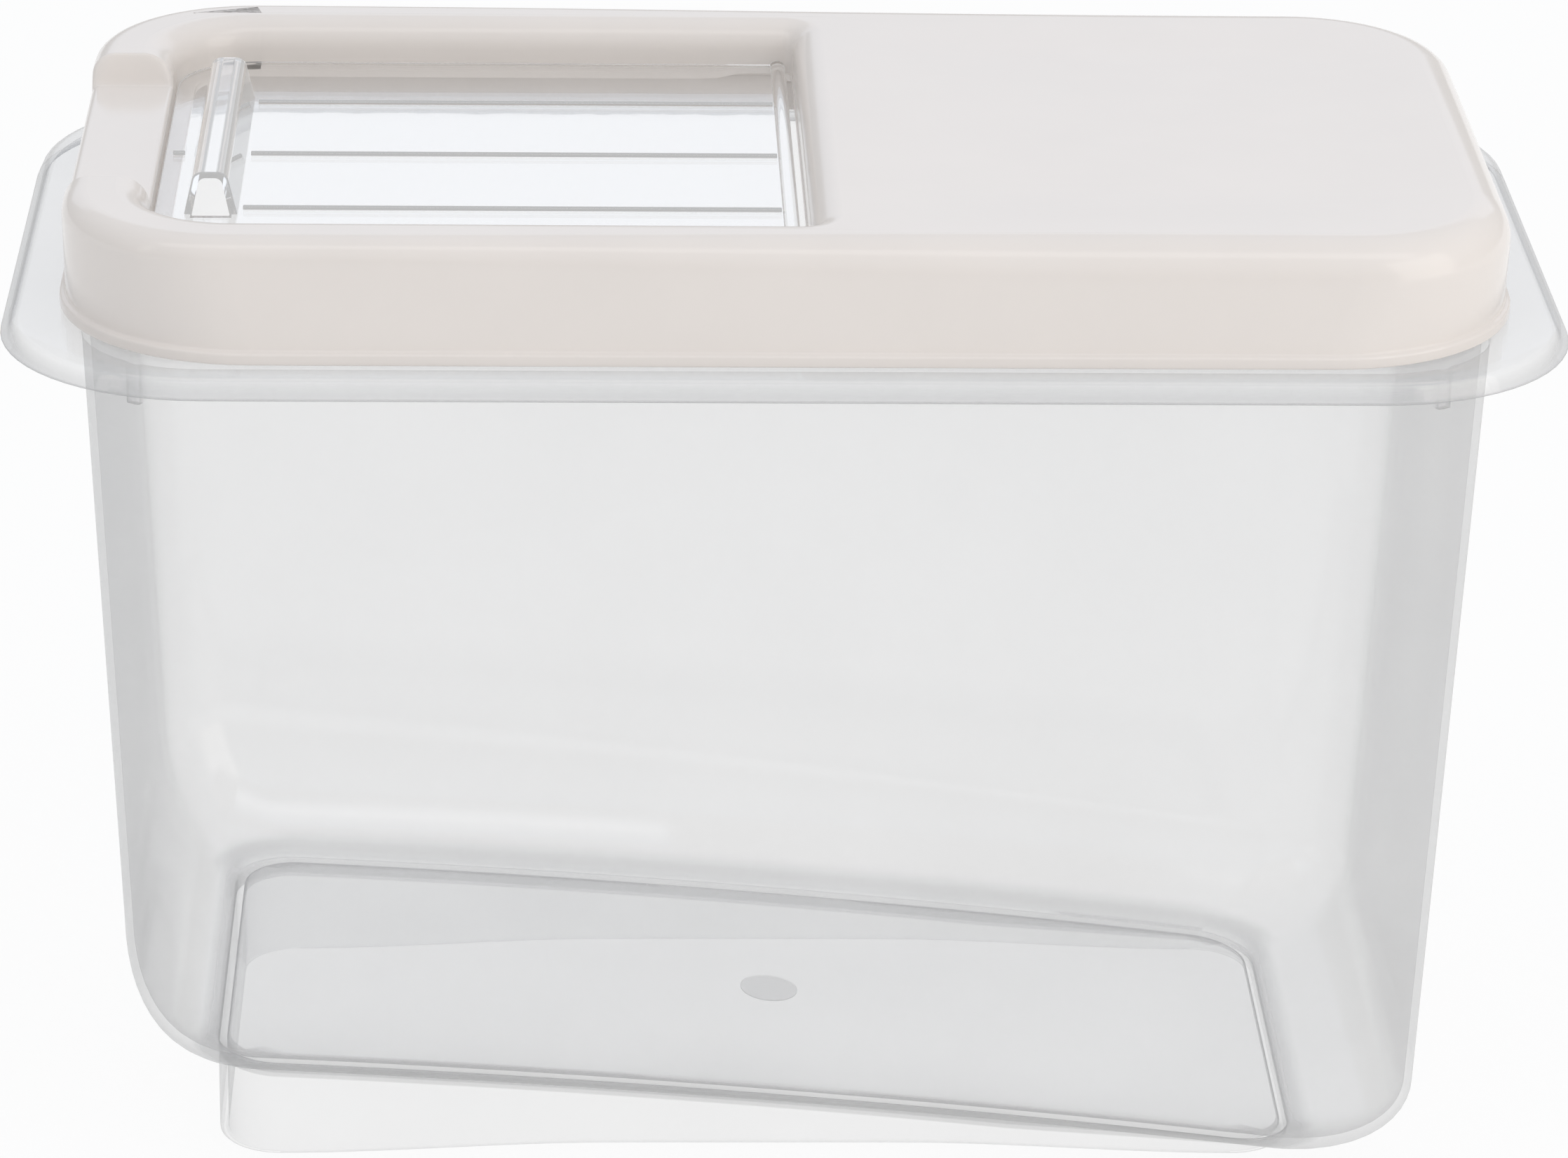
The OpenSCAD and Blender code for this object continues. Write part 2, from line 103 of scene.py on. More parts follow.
class RiceBinTub(bpy.types.PropertyGroup):
    seat: length("Seat height", "Height of the flange's top, which carries the lid", TUB_HIGH.z - 9 * MM)
    half_l: length("Half length", "Half length of the wall at the seat", 170 * MM)
    half_w: length("Half width", "Half width of the wall at the seat", 94 * MM)
    corner: length("Corner", "Radius of the upright corners at the seat", 30 * MM)
    draft: angle("Draft", "Lean of the walls", 2.4)
    wall: length("Wall", "Thickness of the wall", 2 * MM)
    round_left: length("Left rounding", "Rounding between wall and floor at the floor's raised end", 41 * MM)
    round_right: length("Right rounding", "The same rounding at the floor's low end", 22 * MM)
    floor_mid: length("Floor height", "Height of the floor's underside at the middle", 17.5 * MM)
    floor_tilt: angle("Floor fall", "Fall of the floor towards the closed half", 5.1)
    floor_bow: length("Floor bow", "Radius of the floor's slight bow", 3100 * MM)
    floor_t: length("Floor thickness", "Thickness of the floor", 2.4 * MM)
    foot_l: length("Foot half length", "Half length of the foot ring", 137.3 * MM)
    foot_w: length("Foot half width", "Half width of the foot ring", 61 * MM)
    foot_shift: length("Foot shift", "Offset of the foot ring along the bin", -4.5 * MM)
    foot_corner: length("Foot corner", "Corner radius of the foot ring", 16 * MM)
    foot_wall: length("Foot wall", "Thickness of the foot ring", 2.2 * MM)
    foot_root: length("Foot root", "Height of the foot's thickened root below the floor", 4 * MM)
    foot_arch: length("Foot arch", "Rise of the foot's long edges between its corners", 3 * MM)
    gate_d: length("Gate mark", "Diameter of the round gate mark under the floor", 15 * MM)
    gate_t: length("Gate depth", "Depth of the gate mark", 0.5 * MM)
    flange_l: length("Flange half length", "Half length of the flange without flare", TUB_HIGH.x - 2.5 * MM)
    flange_w: length("Flange half width", "Half width of the flange without flare", TUB_HIGH.y - 2.5 * MM)
    flange_corner: length("Flange corner", "Corner radius of the flange above its skirt", 48 * MM)
    flange_t: length("Flange thickness", "Thickness of the flange", 2.2 * MM)
    flange_lip: length("Flange lip", "How far the shoulder stands out over the skirt", 1.2 * MM)
    flange_round: length("Flange shoulder", "Radius of the wide shoulder of the flange", 4 * MM)
    skirt_drop: length("Skirt drop", "Drop of the turned-down skirt", 6 * MM)
    skirt_flare: length("Skirt flare", "Outward flare of the skirt", 2.5 * MM)
    skirt_t: length("Skirt thickness", "Thickness of the skirt", 1.8 * MM)
    rim_h: length("Rim height", "Height of the upright rim inside the lid", 9 * MM)
    rim_gap: length("Rim gap", "Gap between the rim and the lid", 0.8 * MM)
    rib_w: length("Rib width", "Width of a stacking rib", 3.6 * MM)
    rib_drop: length("Rib drop", "Length of a stacking rib below the seat", 12.5 * MM)
    rib_out: length("Rib depth", "How far a stacking rib stands out", 2 * MM)
    rib_turn: angle("Rib turn", "Turn of the stacking ribs away from the bin's length", 59)


class RiceBinLid(bpy.types.PropertyGroup):
    half_l: length("Half length", "Half length over the lower band", LID_HIGH.x)
    half_w: length("Half width", "Half width over the lower band", LID_HIGH.y)
    corner: length("Corner", "Corner radius of the lower band", 48 * MM)
    top: length("Top", "Height of the lid's top", LID_HIGH.z)
    low: length("Lower edge", "Height of the lid's lower edge", LID_LOW.z)
    band_h: length("Band height", "Height of the lower band above the seat", 3 * MM)
    band_out: length("Band depth", "How far the lower band stands proud", 1.4 * MM)
    band_slope: length("Band slope", "Height of the small slope above the band", 0.6 * MM)
    side_lean: length("Side lean", "Inward lean of the long sides", 2.4 * MM)
    edge_left: length("Edge rounding", "Rounding between sides and top at the flap's end", 6 * MM)
    edge_right: length("Soft rounding", "Softer rounding at the closed end", 10 * MM)
    hold_left: length("Left hold", "Length over which the smaller rounding is kept", 34 * MM)
    hold_right: length("Right hold", "Length over which the softer rounding is kept", 76 * MM)
    wall: length("Wall", "Wall thickness of the lid", 2.2 * MM)
    crown: length("Crown", "Fall of the top towards its long edges", 0.4 * MM)
    dish: length("Dish", "Depth of the soft dish in the closed half", 1.6 * MM)
    saddle_depth: length("Saddle depth", "Depth of the finger saddle", 7.9 * MM)
    saddle_w: length("Saddle half width", "Half width of the saddle's floor", 45 * MM)
    saddle_slope: length("Saddle slope", "Run of the saddle's end slopes", 3.6 * MM)
    saddle_run: length("Saddle run", "Run of the saddle's slope along the bin", 6 * MM)
    saddle_round: length("Saddle rounding", "Rounding of the saddle's outer edge", 2 * MM)
    saddle_lip: length("Saddle lip", "Rounding of the saddle's inner edge", 1.2 * MM)
    window_left: length("Window left", "Left edge of the window", -154 * MM)
    window_right: length("Window right", "Right edge of the window", 5 * MM)
    window_w: length("Window half width", "Half width of the window", 76 * MM)
    window_corner: length("Window corner", "Corner radius at the window's left end", 21 * MM)
    window_small: length("Small corner", "Corner radius beside the hinge", 3 * MM)
    window_round: length("Window rounding", "Rounding between the window's wall and the top", 7.5 * MM)
    ledge_w: length("Ledge width", "Width of the ledge that carries the flap", 5 * MM)
    ledge_t: length("Ledge thickness", "Thickness of the ledge", 2 * MM)
    ledge_hinge_w: length("Ledge at hinge", "Width that the ledge keeps beside the hinge", 0.4 * MM)
    ledge_end: length("Ledge end", "Distance from the hinge where the ledge narrows", 14 * MM)
    ledge_taper: length("Ledge taper", "Length over which it narrows", 6 * MM)
    boss_r: length("Boss radius", "Outer radius of the hinge bosses", 4 * MM)
    boss_end: length("Boss end", "Wall beyond the blind end of a bore", 1.6 * MM)


class RiceBinFlap(bpy.types.PropertyGroup):
    left: length("Left edge", "Free end of the flap", FLAP_LOW.x)
    gap: length("Gap", "Gap between the flap and the window", 0.6 * MM)
    top: length("Top", "Height of the flap's upper face", FLAP_HIGH.z - 10.7 * MM)
    t: length("Thickness", "Thickness of the flap", 2.2 * MM)
    barrel_r: length("Barrel radius", "Radius of the hinge barrel", 2.1 * MM)
    pin_r: length("Pin radius", "Radius of the hinge pins", 1.5 * MM)
    pin_l: length("Pin length", "Length of a pin beyond the flap", 4 * MM)
    pin_gap: length("Pin gap", "Clearance round the pins", 0.25 * MM)
    bead_n: IntProperty(name="Beads", description="Number of stiffening beads", default=3, min=1, max=5)
    bead_pitch: length("Bead pitch", "Distance between the beads", 41 * MM)
    bead_r: length("Bead radius", "Radius of a bead", 0.9 * MM)
    stub_l: length("Short bead", "Length of the short bead at the free end", 3 * MM)
    grip_in: length("Grip place", "From the free end to the middle of the grip", 13.8 * MM)
    grip_base: length("Grip base", "Width of the grip at its foot", 13.4 * MM)
    grip_top: length("Grip top", "Width of the grip at its top", 9 * MM)
    grip_h: length("Grip height", "Height of the grip", 10.7 * MM)
    grip_l: length("Grip length", "Length of the grip across the flap", 91 * MM)
    grip_wall: length("Grip wall", "Wall thickness of the grip", 1.5 * MM)
    grip_round: length("Grip rounding", "Rounding of the grip's top edges", 2.6 * MM)


class RiceBinFinish(bpy.types.PropertyGroup):
    tub_haze: colour("Tub haze", "Colour of the haze inside the tub's plastic", "#BCBCBC")
    haze_share: share("Tub haze share", "Haze of one face of the tub seen straight on", 0.082)
    lid: colour("Lid", "Colour of the lid", "#EEE7E1")
    flap: colour("Flap", "Tint of the flap", "#FEFEFE")
    floor: colour("Floor", "Colour of the floor", "#F4F4F4")


class RiceBinStudio(bpy.types.PropertyGroup):
    sky: FloatProperty(name="Sky", description="Strength of the pale world", default=0.85, min=0)
    top_lamp: power("Top lamp", "Power of the lamp above", 0.3)
    front_lamp: power("Front lamp", "Power of the lamp above the front", 4)
    back_lamp: power("Back lamp", "Power of the lamp behind", 4.5)
    left_lamp: power("Left lamp", "Power of the strip at left", 0.6)
    right_lamp: power("Right lamp", "Power of the lamp at right", 8)
    floor_size: length("Floor size", "Side of the floor", 14)


# Outlines: every ring of a moulded shell has one point for each slot of a rounded rectangle. The counts are
# of spans: round a corner, along a long side, along a short side, and down a slope of the finger saddle.

QUAD_X = np.array([1, -1, -1, 1])
QUAD_Y = np.array([1, 1, -1, -1])
ARC_N = 16
LONG_N = 34
SHORT_N = 22
SLOPE_N = 14

# A fillet's points, the share of each neighbouring edge that it may take up, and the least corner radius.

FILLET_N = 6
FILLET_SHARE = 0.46
LEAST_ROUND = 0.5 * MM

# Edges that turn by more degrees than this stay crisp, on the two moulded shells and on the flap.

SHELL_SHARP = 50
FLAP_SHARP = 32


def blend(a, b, t):
    return a + (b - a) * t


def ease(t):
    c = np.clip(t, 0, 1)
    return c * c * (3 - 2 * c)


def even_shares(n):
    """Shares of a side that crowd at its corners."""
    return [math.sin(math.pi * i / n - math.pi / 2) for i in range(1, n)]


def make_slots(left_shares):
    """Corner, kind (0 is an angle on the corner, 1 a share of the side after it) and value of each slot."""
    sides = [even_shares(LONG_N), left_shares, even_shares(LONG_N), even_shares(SHORT_N)]
    rows = []
    for q in range(4):
        rows += [(q, 0, math.pi / 2 * (q + i / ARC_N)) for i in range(ARC_N + 1)]
        rows += [(q, 1, u) for u in sides[q]]
    return np.array(rows)


def outline(slots, a, b, radii):
    """Points of a rounded rectangle of half sizes a and b. A tuple of radii has one for each corner."""
    corner = slots[:, 0].astype(int)

    def at(q, turn):
        r = np.array(radii)[q] if isinstance(radii, tuple) else radii
        return np.stack(
            [QUAD_X[q] * (a - r) + r * np.cos(turn), QUAD_Y[q] * (b - r) + r * np.sin(turn)], -1
        )

    on_arc = at(corner, slots[:, 2])
    turn = math.pi / 2 * (corner + 1)
    start, end = at(corner, turn), at((corner + 1) % 4, turn)
    on_side = blend(start, end, (slots[:, 2:] + 1) / 2)
    return np.where(slots[:, 1:2] == 0, on_arc, on_side)


def beyond(x, y, half_l, half_w, corner):
    """How far points lie outside a rounded rectangle, negative inside it."""
    dx = np.abs(x) - half_l + corner
    dy = np.abs(y) - half_w + corner
    return np.hypot(np.maximum(dx, 0), np.maximum(dy, 0)) + np.minimum(np.maximum(dx, dy), 0) - corner


def raised(points, z):
    """A ring: outline points at height z, which may differ from point to point."""
    return np.column_stack([points, np.broadcast_to(z, len(points))])


def rounded(stations, closed=False):
    """Rings of a profile whose stations are (ring, radius): a station with a radius becomes a fillet."""
    out = []
    last = len(stations) - 1
    for i, (ring, size) in enumerate(stations):
        if size == 0 or (not closed and i in (0, last)):
            out.append(ring)
            continue
        before = stations[i - 1][0] - ring
        after = stations[(i + 1) % (last + 1)][0] - ring
        reach_a = np.linalg.norm(before, axis=1, keepdims=True)
        reach_b = np.linalg.norm(after, axis=1, keepdims=True)
        start = ring + before / reach_a * np.minimum(size, FILLET_SHARE * reach_a)
        end = ring + after / reach_b * np.minimum(size, FILLET_SHARE * reach_b)
        for t in np.linspace(0, 1, FILLET_N):
            out.append((1 - t) ** 2 * start + 2 * t * (1 - t) * ring + t * t * end)
    return out


def loft(name, rings, closed, tips=()):
    """A mesh of quads through the rings. It closes on itself, or at two tips."""
    n = len(rings[0])
    spans = len(rings) if closed else len(rings) - 1
    verts = np.vstack([*rings, *tips])
    faces = []
    for i in range(spans):
        k = (i + 1) % len(rings)
        faces += [(i * n + j, k * n + j, k * n + (j + 1) % n, i * n + (j + 1) % n) for j in range(n)]
    if tips:
        low, high = len(rings) * n, len(rings) * n + 1
        end = (len(rings) - 1) * n
        faces += [(low, j, (j + 1) % n) for j in range(n)]
        faces += [(high, end + (j + 1) % n, end + j) for j in range(n)]
    mesh = bpy.data.meshes.new(name)
    mesh.from_pydata([tuple(v) for v in verts], [], faces)
    return add_object(name, mesh)


def add_solid(name, bm):
    mesh = bpy.data.meshes.new(name)
    bm.to_mesh(mesh)
    bm.free()
    return add_object(name, mesh)


def add_object(name, mesh):
    obj = bpy.data.objects.new(name, mesh)
    bpy.context.scene.collection.objects.link(obj)
    face_outward(mesh)
    return obj


def face_outward(mesh):
    bm = bmesh.new()
    bm.from_mesh(mesh)
    bmesh.ops.recalc_face_normals(bm, faces=bm.faces)
    bm.to_mesh(mesh)
    bm.free()


def combine(target, other, operation):
    """Adds the other solid to the target, or cuts it from it, and removes it."""
    modifier = target.modifiers.new("combine", "BOOLEAN")
    modifier.operation = operation
    modifier.solver = "EXACT"
    modifier.object = other
    bake_modifiers(target)
    bpy.data.objects.remove(other)


def bake_modifiers(obj):
    mesh = bpy.data.meshes.new_from_object(obj.evaluated_get(bpy.context.evaluated_depsgraph_get()))
    obj.modifiers.clear()
    obj.data = mesh


def smooth(obj, sharp_angle):
    """Smooth shading that keeps edges above the angle crisp and flat faces flat."""
    obj.data.shade_smooth()
    obj.data.set_sharp_from_angle(angle=math.radians(sharp_angle))
    modifier = obj.modifiers.new("weighted_normals", "WEIGHTED_NORMAL")
    modifier.keep_sharp = True
    modifier.weight = 60


def dress(obj, material, body, node):
    obj.data.materials.clear()
    obj.data.materials.append(material)
    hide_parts(node)
    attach(obj, body)


def round_edges(bm, edges, size):
    bmesh.ops.bevel(bm, geom=edges, offset=size, segments=3, profile=0.5, affect="EDGES")


def rod(name, radius, start, end, sides=40, edge=0.0):
    """A round rod between two points, with its end edges broken by a small bevel."""
    start, end = Vector(start), Vector(end)
    axis = end - start
    bm = bmesh.new()
    bmesh.ops.create_cone(
        bm, cap_ends=True, segments=sides, radius1=radius, radius2=radius, depth=axis.length
    )
    if edge:
        ends = [e for e in bm.edges if abs(e.verts[0].co.z - e.verts[1].co.z) < axis.length / 2]
        round_edges(bm, ends, edge)
    turn = axis.to_track_quat("Z", "Y").to_matrix().to_4x4()
    bm.transform(Matrix.Translation((start + end) / 2) @ turn)
    return add_solid(name, bm)


def block(name, size, edge, place):
    """A small moulded block of the given size with rounded edges, set down by a matrix."""
    bm = bmesh.new()
    bmesh.ops.create_cube(bm, size=1)
    bm.transform(Matrix.Diagonal((*size, 1)))
    round_edges(bm, list(bm.edges), edge)
    bm.transform(place)
    return add_solid(name, bm)


def extrusion(name, points, along, edge):
    """A flat outline drawn out along a vector, with the edges round its two ends rounded."""
    along = Vector(along)
    bm = bmesh.new()
    face = bm.faces.new([bm.verts.new(p) for p in points])
    made = bmesh.ops.extrude_face_region(bm, geom=[face])["geom"]
    bmesh.ops.translate(bm, vec=along, verts=[v for v in made if isinstance(v, bmesh.types.BMVert)])
    bmesh.ops.recalc_face_normals(bm, faces=bm.faces)
    if edge:
        half = along.length_squared / 2
        ends = [e for e in bm.edges if abs((e.verts[0].co - e.verts[1].co).dot(along)) < half]
        round_edges(bm, ends, edge)
    return add_solid(name, bm)


# Node helpers. Most values of a noise texture lie in this range.

NOISE_RANGE = {"From Min": 0.3, "From Max": 0.7}


def add_node(tree, kind, inputs=None, links=None, **settings):
    """Adds a shader node with its settings, input values and links. A linked node gives its first output."""
    node = tree.nodes.new("ShaderNode" + kind)
    for key, value in settings.items():
        setattr(node, key, value)
    for key, value in (inputs or {}).items():
        node.inputs[key].default_value = value
    for key, source in (links or {}).items():
        output = source.outputs[0] if isinstance(source, bpy.types.Node) else source
        tree.links.new(output, node.inputs[key])
    return node


def new_material(name):
    """An empty node material and the tree to fill."""
    material = bpy.data.materials.new(name)
    material.use_nodes = True
    material.node_tree.nodes.clear()
    return material, material.node_tree


def clear_polypropylene():
    """Clear polypropylene, injection moulded. It is slightly milky: a little light scatters in the wall,
    more so where the wall is seen at a slant or is thick, which darkens the bin's corners and its foot.
    Flow lines from the gate leave a faint unevenness. Behind seven faces of it the wall is only a painted
    white glow, in place of the pale surround."""
    finish = bpy.context.scene.rice_bin_finish
    cloud, ripple = 60 * MM, 14 * MM
    uneven = 0.08 * finish.haze_share
    least_cosine = 0.11
    thick_haze = 2.4
    mirror_straight, mirror_slant, mirror_thick = 0.04, 0.4, 0.05
    faces_passed, surround = 6.5, 0.9
    material, tree = new_material("clear_polypropylene_moulded")
    place = add_node(tree, "TexCoord").outputs["Object"]
    clouds = add_node(
        tree, "TexNoise", {"Scale": 1 / cloud, "Detail": 3.0, "Roughness": 0.55}, {"Vector": place}
    )
    clear_share = 1 - finish.haze_share
    amount = add_node(
        tree, "MapRange",
        {**NOISE_RANGE, "To Min": clear_share - uneven, "To Max": clear_share + uneven},
        {"Value": clouds},
    )
    facing = add_node(tree, "LayerWeight", {"Blend": 0.5})
    cosine = add_node(
        tree, "MapRange", {"To Min": 1.0, "To Max": least_cosine}, {"Value": facing.outputs["Facing"]}
    )
    slant = add_node(tree, "Math", {0: 1.0}, {1: cosine}, operation="DIVIDE")
    thick = add_node(tree, "Attribute", attribute_name="thick")
    extra = add_node(
        tree, "Math", {1: thick_haze, 2: 1.0}, {0: thick.outputs["Fac"]}, operation="MULTIPLY_ADD"
    )
    path_length = add_node(tree, "Math", None, {0: slant, 1: extra}, operation="MULTIPLY")
    through = add_node(tree, "Math", None, {0: amount, 1: path_length}, operation="POWER")
    haze = add_node(tree, "Math", {0: 1.0}, {1: through}, operation="SUBTRACT")
    ripples = add_node(tree, "TexNoise", {"Scale": 1 / ripple, "Detail": 2.0}, {"Vector": place})
    bump = add_node(tree, "Bump", {"Strength": 0.12, "Distance": 0.15 * MM}, {"Height": ripples})
    clear = add_node(tree, "BsdfTransparent", {"Color": (1, 1, 1, 1)})
    milk = add_node(tree, "BsdfDiffuse", {"Color": (*finish.tub_haze, 1)}, {"Normal": bump})
    wall = add_node(tree, "MixShader", None, {0: haze, 1: clear, 2: milk})
    gloss = add_node(tree, "BsdfGlossy", {"Color": (1, 1, 1, 1), "Roughness": 0.06}, {"Normal": bump})
    steep = add_node(tree, "Math", {1: 5.0}, {0: facing.outputs["Facing"]}, operation="POWER")
    most = add_node(
        tree, "MapRange", {"To Min": mirror_slant, "To Max": mirror_thick}, {"Value": thick.outputs["Fac"]}
    )
    mirror = add_node(tree, "MapRange", {"To Min": mirror_straight}, {"Value": steep, "To Max": most})
    skin = add_node(tree, "MixShader", None, {0: mirror, 1: wall, 2: gloss})
    path = add_node(tree, "LightPath")
    # Once a ray has passed more than six faces, the wall becomes a painted white glow in place of the pale
    # surround behind it.
    painted_glow_mask = add_node(
        tree, "Math", {1: faces_passed}, {0: path.outputs["Transparent Depth"]}, operation="GREATER_THAN"
    )
    painted_surround_glow = add_node(tree, "Emission", {"Color": (1, 1, 1, 1), "Strength": surround})
    layered = add_node(tree, "MixShader", None, {0: painted_glow_mask, 1: skin, 2: painted_surround_glow})
    add_node(tree, "OutputMaterial", None, {"Surface": layered})
    return material


def white_polypropylene():
    """White polypropylene, injection moulded against a polished tool: a warm off-white with a soft wide
    gloss, and the slight waviness that a cooling skin leaves."""
    finish = bpy.context.scene.rice_bin_finish
    wave, pore = 22 * MM, 1.2 * MM
    rough_low, rough_high = 0.11, 0.15
    tone_low, tone_high = 0.985, 1.01
    material, tree = new_material("white_polypropylene_moulded")
    place = add_node(tree, "TexCoord").outputs["Object"]
    waves = add_node(tree, "TexNoise", {"Scale": 1 / wave, "Detail": 2.0}, {"Vector": place})
    skin = add_node(tree, "TexNoise", {"Scale": 1 / pore, "Detail": 2.0}, {"Vector": place})
    gloss = add_node(
        tree, "MapRange", {**NOISE_RANGE, "To Min": rough_low, "To Max": rough_high}, {"Value": waves}
    )
    shade = add_node(
        tree, "MapRange",
        {"From Min": 0.2, "From Max": 0.8, "To Min": tone_low, "To Max": tone_high},
        {"Value": waves},
    )
    tone = add_node(tree, "HueSaturation", {"Color": (*finish.lid, 1)}, {"Value": shade})
    wavy = add_node(tree, "Bump", {"Strength": 0.1, "Distance": 0.2 * MM}, {"Height": waves})
    fine = add_node(
        tree, "Bump", {"Strength": 0.05, "Distance": 0.02 * MM}, {"Height": skin, "Normal": wavy}
    )
    shell = add_node(
        tree, "BsdfPrincipled", {"IOR": 1.49}, {"Base Color": tone, "Roughness": gloss, "Normal": fine}
    )
    add_node(tree, "OutputMaterial", None, {"Surface": shell})
    return material


def clear_polystyrene():
    """Clear polystyrene, injection moulded and glassy: it bends what is behind it, and shows bright and dark
    lines at every edge. Lamps shine through it. Past five bounces a ray meets a painted pale glow, in place
    of the light trapped in the panel."""
    finish = bpy.context.scene.rice_bin_finish
    wave = 9 * MM
    lamp_share = 0.93
    trapped_after, painted_glow_strength = 5.0, 0.5
    material, tree = new_material("clear_polystyrene_moulded")
    place = add_node(tree, "TexCoord").outputs["Object"]
    waves = add_node(tree, "TexNoise", {"Scale": 1 / wave, "Detail": 1.5}, {"Vector": place})
    bump = add_node(tree, "Bump", {"Strength": 0.08, "Distance": 0.1 * MM}, {"Height": waves})
    glass = add_node(
        tree, "BsdfPrincipled",
        {"Base Color": (*finish.flap, 1), "Roughness": 0.02, "IOR": 1.57, "Transmission Weight": 1.0},
        {"Normal": bump},
    )
    clear = add_node(tree, "BsdfTransparent", {"Color": (lamp_share, lamp_share, lamp_share, 1)})
    path = add_node(tree, "LightPath")
    mix = add_node(tree, "MixShader", None, {0: path.outputs["Is Shadow Ray"], 1: glass, 2: clear})
    # A ray that has bounced more than five times meets a painted pale glow, in place of the light trapped in
    # the panel.
    painted_glow_mask = add_node(
        tree, "Math", {1: trapped_after}, {0: path.outputs["Ray Depth"]}, operation="GREATER_THAN"
    )
    painted_trapped_glow = add_node(tree, "Emission", {"Color": (1, 1, 1, 1), "Strength": painted_glow_strength})
    lit = add_node(tree, "MixShader", None, {0: painted_glow_mask, 1: mix, 2: painted_trapped_glow})
    add_node(tree, "OutputMaterial", None, {"Surface": lit})
    return material


def studio_floor():
    """Seamless white studio paper. The lens and mirrors see it nearly white, with a trace of shadow."""
    finish = bpy.context.scene.rice_bin_finish
    fibre = 3 * MM
    white_share = 0.92
    material, tree = new_material("studio_paper_white")
    place = add_node(tree, "TexCoord").outputs["Object"]
    fibres = add_node(tree, "TexNoise", {"Scale": 1 / fibre, "Detail": 2.0}, {"Vector": place})
    bump = add_node(tree, "Bump", {"Strength": 0.03, "Distance": 0.05 * MM}, {"Height": fibres})
    paper = add_node(tree, "BsdfDiffuse", {"Color": (*finish.floor, 1)}, {"Normal": bump})
    glow = add_node(tree, "Emission", {"Color": (1, 1, 1, 1), "Strength": 1.0})
    path = add_node(tree, "LightPath")
    seen = path.outputs["Is Camera Ray"]
    for ray in ("Is Glossy Ray", "Is Transmission Ray"):
        seen = add_node(tree, "Math", None, {0: seen, 1: path.outputs[ray]}, operation="MAXIMUM")
    part = add_node(tree, "Math", {1: white_share}, {0: seen}, operation="MULTIPLY")
    mix = add_node(tree, "MixShader", None, {0: part, 1: paper, 2: glow})
    add_node(tree, "OutputMaterial", None, {"Surface": mix})
    return material


# The tub.


